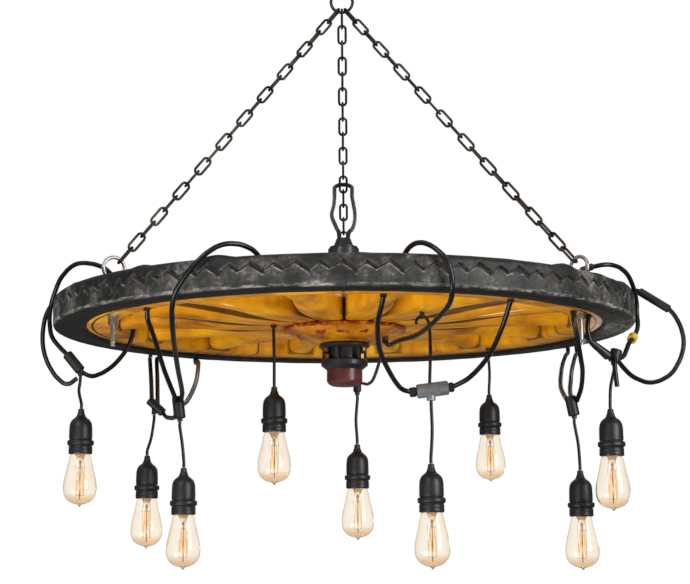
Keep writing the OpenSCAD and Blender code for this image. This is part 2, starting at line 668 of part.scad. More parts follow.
cavity_h = 30;
module socket(i) {
  k = socket_h / 88;
  skirt = socket_r;
  color(black) at_socket(i) rotate_extrude($fn = 64)
    polygon([[0, -fit], [7, -fit], [7.6, -1], [7.6, -14], [11, -17], [16, -21], [20, -27],
  [socket_r - 0.8, -34],
      [socket_r, -42], [socket_r + 0.2, -60 * k], [bead_r - 0.8, -62 * k], [bead_r, -66 * k],
      [bead_r - 0.8, -70 * k], [skirt, -73 * k], [skirt, -socket_h + 1], [skirt - 1, -socket_h],
      [base_d / 2 + 6, -socket_h], [base_d / 2 + 0.5, -socket_h + 6],
  [base_d / 2 + 0.5, -socket_h + cavity_h],
      [0, -socket_h + cavity_h]]);
}

function bulb_wall(s) = [
  [base_d / 2 - 1 - s, 5], [base_d / 2 + 4 - s, 0.5], [20.5 - s, -4], [23 - s, -16], [26.6 - s, -31],
  [30 - s, -46], [bulb_d / 2 - 0.5 - s, -58], [bulb_d / 2 - s, -66], [bulb_d / 2 - 2 - s, -75],
  [bulb_d / 2 - 7 - s, -84]];
module bulb(i) {
  g = glass_t;
  color(glass) at_socket(i) translate([0, 0, -socket_h]) {
    rotate_extrude($fn = 64)
      polygon(concat(bulb_wall(0), [[16, -92], [6, -96], [3, -98], [2, -bulb_h], [0, -bulb_h]],
        [[0, -96 + g], [6, -95 + g], [15.4, -91 + g]],
        [for (k = [9:-1:0]) bulb_wall(g)[k] + [0, k == 9 ? g / 2 : 0]]));
    rotate_extrude($fn = 32)
      polygon([[0, 24], [4, 24], [6, 22], [base_d / 2 - 0.8, 19], [base_d / 2, 17], [base_d / 2, 6],
        [base_d / 2 - 2, 5.2], [0, 5.2]]);
    translate([0, 0, -14]) cylinder(d1 = 6, d2 = 12, h = 19, $fn = 24);
    translate([0, 0, -74]) cylinder(d = 2, h = 61, $fn = 16);
    for (a = [0:60:300]) rotate([0, 0, a]) translate([0.8, 0, -24]) rotate([0, 171, 0])
      cylinder(d = 1, h = 50, $fn = 14);
  }
}

hanging_ring();
chain_left();
chain_right();
chain_rear();
eye_bolts();
eye_nuts();
tyre();
rim_band();
felloes();
spokes();
hub_flanges();
hub_barrel();
hub_neck();
hub_collar();
hub_cap();
hub_top();
cable_gland();
brass_nuts();
cable_clips();
inline_connectors();
tee_connector();
cable_tag();
cable_left_loops();
cable_left_drapes();
cable_pair_links();
cable_front_loop();
cable_tee_feeds();
cable_hub_feed();
cable_right_feeds();
cable_right_edge();
cable_right_loop();
cable_chain_loop();
for (i = [0:8]) {
  drop_cord(i);
  socket(i);
  bulb(i);
}
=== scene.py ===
import functools
import math
import random
import bpy
import bmesh
from mathutils import Matrix, Vector, noise


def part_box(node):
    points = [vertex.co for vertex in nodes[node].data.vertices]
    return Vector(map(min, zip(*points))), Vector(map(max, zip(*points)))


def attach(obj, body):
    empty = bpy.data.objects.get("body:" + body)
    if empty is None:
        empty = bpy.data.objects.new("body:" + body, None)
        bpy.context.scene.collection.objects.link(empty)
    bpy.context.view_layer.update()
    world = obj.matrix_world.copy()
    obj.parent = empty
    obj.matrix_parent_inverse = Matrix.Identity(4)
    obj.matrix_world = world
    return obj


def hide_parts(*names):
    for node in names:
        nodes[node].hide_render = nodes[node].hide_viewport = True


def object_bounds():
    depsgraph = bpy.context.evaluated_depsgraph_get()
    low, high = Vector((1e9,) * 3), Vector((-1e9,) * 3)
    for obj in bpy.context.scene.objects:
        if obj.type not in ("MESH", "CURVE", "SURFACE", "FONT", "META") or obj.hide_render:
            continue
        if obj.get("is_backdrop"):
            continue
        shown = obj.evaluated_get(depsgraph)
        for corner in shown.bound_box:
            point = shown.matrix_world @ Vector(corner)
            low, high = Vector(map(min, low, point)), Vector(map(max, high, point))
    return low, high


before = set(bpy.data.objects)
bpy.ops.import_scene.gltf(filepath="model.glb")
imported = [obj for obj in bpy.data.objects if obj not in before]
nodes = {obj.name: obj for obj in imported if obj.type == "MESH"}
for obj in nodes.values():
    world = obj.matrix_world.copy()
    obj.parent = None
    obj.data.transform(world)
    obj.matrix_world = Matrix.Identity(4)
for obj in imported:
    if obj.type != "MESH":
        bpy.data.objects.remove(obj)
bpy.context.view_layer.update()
mm = 0.001
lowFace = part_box("tyre")[0].z


def place(x, y, z):
    # millimetres, with heights counted from the tyre's lower face as in the CAD
    return Vector((x * mm, y * mm, lowFace + z * mm))


def linear(text):
    parts = [int(text[i:i + 2], 16) / 255 for i in (1, 3, 5)]
    return tuple(c / 12.92 if c <= 0.04045 else ((c + 0.055) / 1.055) ** 2.4 for c in parts) + (1.0,)


def perMetre(size):
    return 1000 / size  # noise scale for a pattern of this size in millimetres


def setInputs(node, inputs):
    for key, value in inputs.items():
        if isinstance(value, bpy.types.NodeSocket):
            node.id_data.links.new(value, node.inputs[key])
        else:
            node.inputs[key].default_value = value


def addNode(tree, kind, inputs=None, output=0, stops=(), **settings):
    made = tree.nodes.new("ShaderNode" + kind)
    for key, value in settings.items():
        setattr(made, key, value)
    setInputs(made, inputs or {})
    for i, (at, colour) in enumerate(stops):
        element = made.color_ramp.elements[i] if i < 2 else made.color_ramp.elements.new(at)
        element.position, element.color = at, linear(colour)
    return made.outputs[output]


def newMaterial(name, sockets):
    made = bpy.data.materials.new(name)
    made.use_nodes = True
    shader = made.node_tree.nodes["Principled BSDF"]
    setInputs(shader, sockets)
    return made, functools.partial(addNode, made.node_tree), shader


def surface(name, look, sockets):
    # the skin of most metals and plastics: wide patches with a fine grit over them
    made, add, shader = newMaterial(name, sockets)
    point = add("TexCoord", output="Object")
    patch = add("TexNoise", {"Vector": point, "Scale": perMetre(look["patch"]), "Detail": 5, "Roughness": 0.55})
    grit = add("TexNoise", {"Vector": point, "Scale": perMetre(look["grit"]), "Detail": 6, "Roughness": 0.55})
    mostly = add("Math", {0: patch, 1: 0.7}, operation="MULTIPLY")
    blend = add("Math", {0: grit, 1: 0.3, 2: mostly}, operation="MULTIPLY_ADD")
    low, high = look["rough"]
    rough = add("MapRange", {"Value": grit, "From Min": 0.35, "From Max": 0.65, "To Min": low, "To Max": high})
    setInputs(shader, {
        "Base Color": add("ValToRGB", {"Fac": blend}, stops=look["colours"]),
        "Roughness": rough,
        "Normal": add("Bump", {"Strength": look["bump"], "Distance": 0.0004, "Height": grit})})
    return made


# Patch and grit are pattern sizes in millimetres. The grit of each is drawn
# a few times coarser than the real one, so that it shows at this distance.

# forged iron, darkened: brown-black with rubbed, slightly shiny crowns
darkIron = surface("dark iron chain", {"patch": 33.33, "grit": 5.556, "rough": (0.34, 0.52), "bump": 0.2,
    "colours": [(0.32, "#1b1814"), (0.5, "#3a332d"), (0.66, "#5f5347")]}, {"Metallic": 0.8})
# zinc plated steel, tumbled: bright grey with dull clouds
zinc = surface("zinc plated steel", {"patch": 22.22, "grit": 2, "rough": (0.24, 0.46), "bump": 0.2,
    "colours": [(0.3, "#8d8a86"), (0.55, "#b9b7b4"), (0.7, "#d8d6d2")]}, {"Metallic": 0.9})
# sand-cast iron under black enamel: soft gloss over a pitted skin
blackIron = surface("black painted casting", {"patch": 38.46, "grit": 2.632, "rough": (0.34, 0.6), "bump": 0.5,
    "colours": [(0.3, "#111213"), (0.55, "#1f2123"), (0.72, "#393a3c")]}, {"Coat Weight": 0.25})
# turned brass, tarnished: warm gold with brown clouds
brassMetal = surface("tarnished brass", {"patch": 16.67, "grit": 2, "rough": (0.2, 0.42), "bump": 0.2,
    "colours": [(0.3, "#8a6a2c"), (0.55, "#c9a450"), (0.7, "#ead08c")]}, {"Metallic": 1.0})
# old oil paint on iron: dark red gloss, faded in patches
capRed = surface("dark red gloss paint", {"patch": 41.67, "grit": 3.333, "rough": (0.3, 0.52), "bump": 0.3,
    "colours": [(0.3, "#320f0e"), (0.5, "#531b1a"), (0.72, "#75403b")]}, {"Coat Weight": 0.3})
# moulded phenolic plastic: even satin black
blackPlastic = surface("satin black moulding", {"patch": 25, "grit": 1.111, "rough": (0.36, 0.5), "bump": 0.12,
    "colours": [(0.3, "#0d0e0f"), (0.55, "#17181a"), (0.75, "#242527")]}, {})
# die-cast zinc alloy, bare: mid grey, half dull
greyMetal = surface("grey cast alloy", {"patch": 16.67, "grit": 1.667, "rough": (0.35, 0.5), "bump": 0.25,
    "colours": [(0.3, "#5f6266"), (0.55, "#84878a"), (0.72, "#a5a7a8")]}, {"Metallic": 0.55})
# moulded vinyl: clear strong yellow
yellowPlastic = surface("yellow moulding", {"patch": 25, "grit": 2, "rough": (0.3, 0.42), "bump": 0.1,
    "colours": [(0.3, "#c8a112"), (0.55, "#e6c427"), (0.75, "#f2d95a")]}, {})
# extruded rubber sheath: deep black with one narrow line of shine
cableSheath = surface("black cable sheath", {"patch": 28.57, "grit": 1.429, "rough": (0.26, 0.4), "bump": 0.08,
    "colours": [(0.3, "#040404"), (0.55, "#09090a"), (0.75, "#121213")]},
    {"Coat Weight": 0.1, "Specular IOR Level": 0.4})
# rolled steel under worn black paint: near black with rust showing through
rimSteel = surface("painted steel band", {"patch": 50, "grit": 3.333, "rough": (0.4, 0.62), "bump": 0.35,
    "colours": [(0.3, "#141312"), (0.55, "#25211e"), (0.72, "#4b3a2c")]}, {"Metallic": 0.4})

cameraLook = {"at": (2, -3069, -405), "tilt": 8.98, "roll": 0.45, "focal": 1564, "width": 690, "sensor": 36}
cameraData = bpy.data.cameras.new("camera")
camera = bpy.data.objects.new("camera", cameraData)
bpy.context.scene.collection.objects.link(camera)
bpy.context.scene.camera = camera
camera.location = place(*cameraLook["at"])
camera.rotation_euler = (Matrix.Rotation(math.radians(90 + cameraLook["tilt"]), 3, "X")
    @ Matrix.Rotation(math.radians(-cameraLook["roll"]), 3, "Z")).to_euler()
cameraData.sensor_width = cameraLook["sensor"]
cameraData.lens = cameraLook["sensor"] * cameraLook["focal"] / cameraLook["width"]
cameraData.clip_end = 60

bpy.context.scene.view_settings.view_transform = "Standard"
roomLook = {
    "floorZ": -1350, "floorHalf": 9, "floorPaint": "#dcdcdc",
    "floorGlow": 0.97,  # what the camera and the glass see of the floor
    "floorMirror": 0.16,  # what polished pieces see of it
    "sky": [(0.0, "#565656"), (0.48, "#606163"), (0.62, "#6c6e70"), (1.0, "#c8c9ca")],
    "lights": {  # name: place, aim, size in metres, power
        "key light": ((-1500, -2600, 1500), (0, 0, 0), (1.2, 1.6), 34),
        "fill light": ((2200, -2000, 300), (0, 0, 0), (1.4, 1.6), 60),
        "low light": ((-1000, -1300, -1200), (0, 0, 0), (1.6, 1.2), 34),
        "back light": ((300, 2400, 900), (0, 0, 0), (2.0, 1.0), 14),
        "window light": ((1180, 2450, -330), (580, 0, 0), (0.4, 0.14), 1.1)},
}
# the sky lights the object softly from above, while the camera and the glass see white
world = bpy.data.worlds.new("studio")
bpy.context.scene.world = world
world.use_nodes = True
add = functools.partial(addNode, world.node_tree)
height = add("SeparateXYZ", {"Vector": add("TexCoord", output="Generated")}, "Z")
climb = add("MapRange", {"Value": height, "From Min": -1, "From Max": 1})
shade = add("ValToRGB", {"Fac": climb}, stops=roomLook["sky"])
seen = add("Math", {0: add("LightPath", output="Is Camera Ray"), 1: add("LightPath", output="Is Transmission Ray")},
    operation="MAXIMUM")
sky = add("Mix", {0: seen, 6: shade, 7: linear("#ffffff")}, 2, data_type="RGBA")
setInputs(world.node_tree.nodes["Background"], {"Color": sky, "Strength": 1.0})

for name, (at, aim, size, power) in roomLook["lights"].items():
    data = bpy.data.lights.new(name, "AREA")
    data.shape = "RECTANGLE"
    data.size, data.size_y = size
    data.energy = power
    light = bpy.data.objects.new(name, data)
    bpy.context.scene.collection.objects.link(light)
    light.location = place(*at)
    light.rotation_euler = (place(*aim) - light.location).to_track_quat("-Z", "Y").to_euler()
    light.visible_camera = light.visible_transmission = False

half = roomLook["floorHalf"]
floorMesh = bpy.data.meshes.new("floor")
floorMesh.from_pydata([(-half, -half, 0), (half, -half, 0), (half, half, 0), (-half, half, 0)], [], [(0, 1, 2, 3)])
floor = bpy.data.objects.new("floor", floorMesh)
bpy.context.scene.collection.objects.link(floor)
floor.location.z = lowFace + roomLook["floorZ"] * mm
floor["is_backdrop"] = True
# matt paint that keeps the shadow, shown pale to the camera and dim to polished pieces
floorMaterial, add, shader = newMaterial("pale floor", {
    "Roughness": 0.9, "Base Color": linear(roomLook["floorPaint"])})
direct = add("Math", {0: add("LightPath", output="Is Camera Ray"), 1: add("LightPath", output="Is Transmission Ray")},
    operation="MAXIMUM")
glow = add("Emission", {"Color": linear("#ffffff"), "Strength": roomLook["floorGlow"]})
dim = add("Emission", {"Color": linear("#ffffff"), "Strength": roomLook["floorMirror"]})
bounce = add("MixShader", {0: add("LightPath", output="Is Glossy Ray"), 1: shader.outputs[0], 2: dim})
both = add("MixShader", {0: direct, 1: bounce, 2: glow})
fromBelow = add("NewGeometry", output="Backfacing")  # the floor can be looked through from beneath
floorShader = add("MixShader", {0: fromBelow, 1: both, 2: add("BsdfTransparent")})
setInputs(floorMaterial.node_tree.nodes["Material Output"], {"Surface": floorShader})
floorMesh.materials.append(floorMaterial)
print("stage: camera and room")


def dress(made, body, replaced):
    bpy.context.scene.collection.objects.link(made)
    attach(made, body)
    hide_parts(replaced)


def addPiece(name, mesh, material, body, replaced, sharp=40, at=(0, 0, 0)):
    if not mesh.materials:  # nine lamps share their meshes
        mesh.materials.append(material)
        mesh.polygons.foreach_set("use_smooth", [True] * len(mesh.polygons))
        if sharp < 180:
            mesh.set_sharp_from_angle(angle=math.radians(sharp))
    made = bpy.data.objects.new(name, mesh)
    made.location = at
    dress(made, body, replaced)


def meshFrom(name, vertices, faces):
    made = bpy.data.meshes.new(name)
    made.from_pydata([tuple(v) for v in vertices], [], faces)
    made.update()
    return made


def gridFaces(rows, columns, closedRows=False):
    # quads between rings of points; closedRows also joins the last ring to the first
    faces = []
    for i in range(rows if closedRows else rows - 1):
        for k in range(columns):
            a, b = i * columns + k, i * columns + (k + 1) % columns
            c, d = ((i + 1) % rows) * columns + (k + 1) % columns, ((i + 1) % rows) * columns + k
            faces.append((a, b, c, d))
    return faces


def softened(profile, radius, steps=3):
    # the same profile with each corner rounded by a few short steps
    done = [profile[0]]
    for before, corner, after in zip(profile, profile[1:], profile[2:]):
        b, c, a = Vector(before), Vector(corner), Vector(after)
        cut = min(radius, (b - c).length * 0.45, (a - c).length * 0.45)
        start, end = c + (b - c).normalized() * cut, c + (a - c).normalized() * cut
        for i in range(steps + 1):
            t = i / steps
            p = start.lerp(c, t).lerp(c.lerp(end, t), t)
            done.append((p.x, p.y))
    done.append(profile[-1])
    return done


def lathe(name, profile, segments, closed=False):
    vertices = []
    for r, z in profile:
        for k in range(segments):
            a = 2 * math.pi * k / segments
            vertices.append(Vector((r * math.cos(a), r * math.sin(a), z)) * mm)
    faces = [f[::-1] for f in gridFaces(len(profile), segments, closedRows=closed)]
    mesh = meshFrom(name, vertices, faces)
    work = bmesh.new()
    work.from_mesh(mesh)
    bmesh.ops.remove_doubles(work, verts=work.verts, dist=1e-6)
    bmesh.ops.recalc_face_normals(work, faces=work.faces)
    work.to_mesh(mesh)
    work.free()
    return mesh


def smoothRoute(points, count):
    # a smooth curve through the points, cut into even steps, and its length
    p = [Vector(q) for q in points]
    p = [2 * p[0] - p[1]] + p + [2 * p[-1] - p[-2]]
    fine = []
    for i in range(1, len(p) - 2):
        for s in range(16):
            t = s / 16
            a, b, c, d = p[i - 1], p[i], p[i + 1], p[i + 2]
            fine.append(0.5 * (2 * b + (c - a) * t + (2 * a - 5 * b + 4 * c - d) * t * t
                + (3 * b - a - 3 * c + d) * t ** 3))
    fine.append(p[-2])
    lengths = [0.0]
    for a, b in zip(fine, fine[1:]):
        lengths.append(lengths[-1] + (b - a).length)
    even, j = [], 0
    for i in range(count):
        want = lengths[-1] * i / (count - 1)
        while j < len(fine) - 2 and lengths[j + 1] < want:
            j += 1
        t = (want - lengths[j]) / max(1e-9, lengths[j + 1] - lengths[j])
        even.append(fine[j].lerp(fine[j + 1], min(1.0, t)))
    return even, lengths[-1]


def addCable(name, points, diameter, body, replaced):
    rough = sum((Vector(b) - Vector(a)).length for a, b in zip(points, points[1:]))
    fewest, most = cableLook["points"]
    even, length = smoothRoute(points, max(fewest, min(most, int(rough / cableLook["spacing"]))))
    data = bpy.data.curves.new(name, "CURVE")
    data.dimensions = "3D"
    data.bevel_depth = diameter / 2 * mm
    data.bevel_resolution = 4
    data.resolution_u = 6
    data.use_fill_caps = True
    spline = data.splines.new("BEZIER")
    spline.bezier_points.add(len(even) - 1)
    for bezier, p in zip(spline.bezier_points, even):
        bezier.co = place(*p)
        bezier.handle_left_type = bezier.handle_right_type = "AUTO"
    data.materials.append(cableSheath)
    made = bpy.data.objects.new(name, data)
    dress(made, body, replaced)


# Diameters in millimetres; spacing is the step between points along a route,
# and straightEnd is how far a drop cord runs straight out of its outlets.
cableLook = {"main": 9, "drop": 6, "straightEnd": 10, "spacing": 22, "points": (15, 40)}
cableRoutes = {
    "cable_left_loops": [
        [(-430, -170, 57), (-430, -180, 78), (-446, -184, 98), (-478, -165, 112), (-516, -118, 118),
            (-548, -78, 100), (-565, -55, 72), (-574, -45, 45), (-575, -42, 12), (-569, -40, -14),
            (-554, -40, -32), (-540, -40, -46)],
        [(-513, -40, -79), (-492, -22, -86), (-465, 18, -66), (-441, 40, -34), (-427, 46, -2), (-425, 50, 32),
            (-438, 58, 62), (-465, 64, 82), (-505, 50, 92), (-548, 30, 90), (-576, 16, 70), (-590, 0, 40),
            (-594, -10, 10), (-592, -20, -24), (-582, -28, -56), (-562, -34, -88), (-538, -38, -103),
            (-520, -40, -92)]],
    "cable_left_drapes": [
        [(-138, -468, 57), (-150, -486, 74), (-176, -508, 82), (-208, -522, 76), (-241, -526, 50),
            (-272, -512, 14), (-286, -490, -16), (-291, -430, -58), (-297, -300, -100), (-302, -170, -134),
            (-312, -124, -146)],
        [(-351, -313, 2), (-350, -304, -16), (-342, -268, -46), (-332, -205, -94), (-320, -150, -134),
            (-316, -124, -148)],
        [(-312, -118, -154), (-303, -60, -138), (-299, 60, -92), (-312, 250, -34), (-331, 420, -8),
            (-340, 470, -4), (-340, 470, 14)]],
    "cable_pair_links": [
        [(-398, 152, -124), (-410, 230, -66), (-428, 350, -12), (-432, 386, -6), (-430, 383, 14)],
        [(-386, 152, -133), (-398, 240, -62), (-413, 350, -12), (-416, 403, -6), (-412, 400, 14)],
        [(-376, 150, -144), (-364, 120, -156), (-348, 40, -164), (-332, -40, -170), (-313, -118, -166)]],
    "cable_front_loop": [
        [(98, -462, 57), (104, -478, 70), (118, -508, 80), (138, -538, 74), (162, -556, 52), (174, -556, 28),
            (177, -548, -4), (173, -510, -24), (152, -400, -39), (131, -270, -42), (103, -160, -38),
            (86, -60, -34), (80, -32, -24)]],
    "cable_tee_feeds": [
        [(67, -452, 1), (65, -446, -10), (58, -410, -40), (62, -350, -78), (82, -290, -114), (102, -246, -136),
            (122, -231, -142)],
        [(196, -230, -133), (226, -256, -118), (256, -306, -86), (275, -352, -45), (290, -382, 2)],
        [(133, -205, -14), (135, -206, -4), (144, -207, 1), (153, -208, -5), (157, -210, -18), (158, -216, -60),
            (155, -228, -125)]],
    "cable_hub_feed": [
        [(64, -335, -88), (58, -240, -104), (52, -150, -112), (46, -80, -111), (42, -20, -106), (37, 34, -99),
            (27, 58, -96)],
        [(25, 60, -26), (25, 60, -92)]],
    "cable_right_feeds": [
        [(432, -57, -150), (432, 50, -108), (456, 200, -53), (476, 280, -18), (486, 309, -4), (484, 307, 14)],
        [(438, -56, -146), (446, 20, -118), (458, 90, -92), (476, 190, -56), (496, 270, -18), (502, 287, -4),
            (499, 286, 14)],
        [(446, -66, -146), (450, -100, -124), (446, -150, -98), (438, -188, -80), (431, -212, -58),
            (425, -228, -34), (420, -235, -12), (420, -235, 2)]],
    "cable_right_edge": [
        [(440, -118, 57), (442, -128, 78), (455, -140, 96), (480, -146, 103), (510, -140, 106), (540, -105, 99),
            (560, -70, 80), (571, -48, 50), (572, -44, 24), (570, -56, -4), (558, -80, -22), (542, -106, -42),
            (528, -134, -66), (512, -155, -76)],
        [(456, -180, 2), (453, -182, -22), (459, -180, -46), (476, -172, -62), (494, -164, -72),
            (506, -159, -76)],
        [(503, -172, -74), (502, -178, -94), (505, -178, -130)]],
    "cable_right_loop": [
        [(470, 15, 57), (486, 12, 68), (520, 4, 74), (556, -6, 76), (583, -14, 75), (612, -19, 57),
            (640, -24, 36), (658, -30, 4), (662, -38, -32), (652, -46, -64), (628, -62, -96), (586, -90, -114),
            (545, -126, -106), (520, -150, -88), (512, -158, -80)]],
    "cable_chain_loop": [
        [(-8, 0, 184), (-8, 2, 196), (-15, 40, 220), (-24, 100, 256), (-20, 165, 292), (-19, 222, 324),
            (-19, 250, 343), (-18, 262, 352), (-14, 271, 358), (-8, 276, 361), (0, 278, 362), (8, 276, 361),
            (14, 271, 358), (18, 262, 352), (19, 250, 343), (19, 222, 322), (24, 130, 265), (20, 50, 222),
            (8, 2, 196), (8, 0, 184)]],
}
thinRoutes = {("cable_tee_feeds", 2), ("cable_hub_feed", 0), ("cable_hub_feed", 1)}
for route, runs in cableRoutes.items():
    for i, run in enumerate(runs):
        diameter = cableLook["drop"] if (route, i) in thinRoutes else cableLook["main"]
        addCable(f"{route}_{'abc'[i]}", run, diameter, "wheel_assembly", route)

dropRoutes = [
    [(-514, -40, -88), (-516, -40, -118), (-511, -40, -151)],
    [(-393, 150, -149), (-398, 150, -195), (-406, 150, -232)],
    [(-311, -120, -184), (-306, -120, -228), (-303, -120, -270)],
    [(-137, -60, 1.3), (-136, -60, -60), (-136, -60, -113)],
    [(25, 60, -120), (22, 60, -170), (24, 60, -218)],
    [(157, -230, -158), (158, -230, -214), (155, -230, -271)],
    [(314, 330, -0.7), (316, 330, -50), (314, 330, -96)],
    [(441, -60, -180), (447, -60, -229), (449, -60, -278)],
    [(503, -160, -88), (496, -160, -128), (494, -160, -169)],
]
for i, run in enumerate(dropRoutes, 1):
    (x1, y1, z1), (x2, y2, z2) = run[0], run[-1]
    full = [run[0], (x1, y1, z1 - cableLook["straightEnd"])] + run[1:-1] + [
        (x2, y2, z2 + cableLook["straightEnd"]), run[-1]]
    addCable(f"drop_{i}", full, cableLook["drop"], f"pendant_{i}", f"drop_cord_{i}")
print("stage: cables")

# Sizes of one lamp in millimetres; profiles are radius and height from the
# top of the socket, or from its rim for what belongs to the bulb.
lampLook = {"socketHeight": 88, "glassWall": 0.9, "turns": 6, "cageTop": (8.6, -27), "cageFoot": (8.0, -79),
    "thread": 0.6, "hook": 0.22,
    "tint": [(0.0, "#fefaf3"), (0.5, "#fdf3e4"), (0.8, "#f3dfc8"), (1.0, "#cdb39b")], "tip": "#f2d9ba",
    "stem": [(0.3, "#f1dcb8"), (0.7, "#fff6e6")], "stemGlow": "#ffc98a",
    "coldThread": "#3a2410", "glow": [(0.3, "#f2b155"), (0.7, "#ffd08a")]}
socketProfile = [(0, -0.5), (4, -0.5), (5.2, -1), (5.7, -3), (6.3, -7), (6.2, -7.8), (6.5, -8.8), (7.2, -10),
    (8.2, -13.5), (9.6, -16), (11.8, -18), (15.4, -20.6), (18.6, -24.2), (20.6, -28.4), (21.7, -34), (22.1, -40),
    (22.3, -50), (22.3, -58.6), (21.4, -59.6), (21.4, -60.6), (24.2, -61.6), (25.4, -63.6), (25.6, -66.4),
    (25.4, -69), (24, -71), (22, -72), (21.8, -73.2), (22.8, -74.6), (22.8, -79), (22.3, -79.6), (22.8, -80.2),
    (22.8, -86), (22.2, -87.6), (20.6, -88), (19.2, -87.4), (18.4, -82), (13.6, -80.5), (13.6, -58), (0, -58)]
glassOuter = [(13.2, 4), (17.6, 1.4), (20.0, -3), (21.6, -10), (23.4, -19), (25.6, -29), (28.2, -39), (30.4, -49),
    (31.7, -58), (32, -66), (31.2, -74), (28.6, -81.5), (24.2, -87.6), (18.4, -92), (12.2, -94.6), (7.2, -95.6),
    (4.2, -96.2), (2.7, -98), (1.7, -100.2), (0, -100.9)]
glassWall = lampLook["glassWall"]
glassInner = [(12.4, 4)] + [(r - glassWall, z + 0.15) for r, z in glassOuter[1:10]] + [
    (30.3, -73.6), (27.8, -80.6), (23.5, -86.6), (18, -90.9), (12, -93.5), (7, -94.6), (3.4, -95), (0, -95.1)]
baseProfile = [(0, 23.6), (4.5, 23.4), (6, 22), (9, 20.4), (12, 19)] + [
    (12.1 + 0.8 * math.cos(k * math.pi), 18 - k * 1.3) for k in range(9)] + [(12.6, 5.6), (0, 5.2)]
stemProfile = [(0, 4.8), (11.6, 4.6), (11.2, 1), (9, -4), (6, -9), (4.2, -14), (3.4, -20), (3.0, -26), (2.2, -29),
    (0, -30)]

# blown soda glass: clear, darker where it is seen edge on, amber at the tip
glassMaterial, add, shader = newMaterial("clear amber bulb glass", {
    "Roughness": 0.0, "IOR": 1.42, "Transmission Weight": 1.0})
facing = add("LayerWeight", {"Blend": 0.4}, "Facing")
tint = add("ValToRGB", {"Fac": facing}, stops=lampLook["tint"])
height = add("SeparateXYZ", {"Vector": add("TexCoord", output="Object")}, "Z")
amber = add("MapRange", {"Value": height, "From Min": -0.088, "From Max": -0.074, "To Min": 1.0, "To Max": 0.0})
share = add("Math", {0: amber, 1: 0.75}, operation="MULTIPLY")
setInputs(shader, {"Base Color": add("Mix", {0: share, 6: tint, 7: linear(lampLook["tip"])}, 2, data_type="RGBA")})

# pressed glass foot: milky, and a little painted glow stands in for the filament's light it catches
stemGlass, add, shader = newMaterial("glass stem", {"Roughness": 0.08, "IOR": 1.3, "Transmission Weight": 0.75,
    "Emission Strength": 0.12, "Emission Color": linear(lampLook["stemGlow"])})
cloud = add("TexNoise", {"Vector": add("TexCoord", output="Object"), "Scale": perMetre(16.67), "Detail": 5,
    "Roughness": 0.55})
setInputs(shader, {"Base Color": add("ValToRGB", {"Fac": cloud}, stops=lampLook["stem"])})

# carbon thread at low current: orange to yellow glow
filament, add, shader = newMaterial("glowing filament", {
    "Roughness": 0.6, "Emission Strength": 1.0, "Base Color": linear(lampLook["coldThread"]),
    "Specular IOR Level": 0.1})
heat = add("TexNoise", {"Vector": add("TexCoord", output="Object"), "Scale": perMetre(8.333), "Detail": 5,
    "Roughness": 0.55})
setInputs(shader, {"Emission Color": add("ValToRGB", {"Fac": heat}, stops=lampLook["glow"])})

# drawn nickel wire, oxidised: dull brown
supportWire = surface("support wire", {"patch": 16.67, "grit": 2, "rough": (0.3, 0.5), "bump": 0.1,
    "colours": [(0.3, "#2c241c"), (0.55, "#43382c"), (0.75, "#6b5a45")]}, {"Metallic": 0.5})


def rods(name, lines, sides=8):
    # one closed rod for each start, end and radius
    vertices, faces = [], []
    for a, b, radius in lines:
        a, b = Vector(a) * mm, Vector(b) * mm
        along = (b - a).normalized()
        side = along.orthogonal().normalized()
        start = len(vertices)
        for p in (a, b):
            for k in range(sides):
                turn = Matrix.Rotation(2 * math.pi * k / sides, 3, along)
                vertices.append(p + turn @ side * radius * mm)
        faces += [tuple(start + v for v in f) for f in gridFaces(2, sides)]
        faces.append(tuple(start + k for k in reversed(range(sides))))
        faces.append(tuple(start + sides + k for k in range(sides)))
    return meshFrom(name, vertices, faces)


(topRadius, topZ), (footRadius, footZ) = lampLook["cageTop"], lampLook["cageFoot"]
filamentLines, supportLines = [], []
for k in range(lampLook["turns"]):
    a, b, c = (2 * math.pi * (k + share) / lampLook["turns"] for share in (0, 0.5, 1))
    top = (topRadius * math.cos(a), topRadius * math.sin(a), topZ)
    foot = (footRadius * math.cos(b), footRadius * math.sin(b), footZ)
    nextTop = (topRadius * math.cos(c), topRadius * math.sin(c), topZ)
    filamentLines += [(top, foot, lampLook["thread"]), (foot, nextTop, lampLook["thread"])]
    supportLines.append(((1.6 * math.cos(a), 1.6 * math.sin(a), -24), top, lampLook["hook"]))
    supportLines.append(((0.8 * math.cos(b), 0.8 * math.sin(b), -80), foot, lampLook["hook"]))
supportLines += [((0, 0, -12), (0, 0, -19), 1.7), ((0, 0, -16), (0, 0, -87), 0.8),
    ((-4, 0, 4), (-topRadius, 0, topZ), 0.35), ((4, 0, 4), (topRadius, 0, topZ), 0.35)]

socketMesh = lathe("socket shell", softened(socketProfile, 0.5), 72)
glassMesh = lathe("bulb glass", glassOuter + glassInner[::-1], 64, closed=True)
bulbParts = {  # name: mesh, material, slot
    "glass": (glassMesh, glassMaterial, "bulb_glass"),
    "base": (lathe("bulb base", baseProfile, 48), brassMetal, "brass"),
    "stem": (lathe("bulb stem", stemProfile, 32), stemGlass, "bulb_glass"),
    "filament": (rods("filament", filamentLines), filament, "bulb_glass"),
    "support": (rods("filament supports", supportLines, 6), supportWire, "bulb_glass"),
}
for i, run in enumerate(dropRoutes, 1):
    top = place(*run[-1])
    rim = top - Vector((0, 0, lampLook["socketHeight"] * mm))
    addPiece(f"socket_shell_{i}", socketMesh, blackPlastic, f"pendant_{i}", f"socket_{i}", at=top)
    for part, (mesh, material, slot) in bulbParts.items():
        addPiece(f"bulb_{part}_{i}", mesh, material, f"lamp_{i}", f"bulb_{i}", at=rim)
print("stage: lamps")

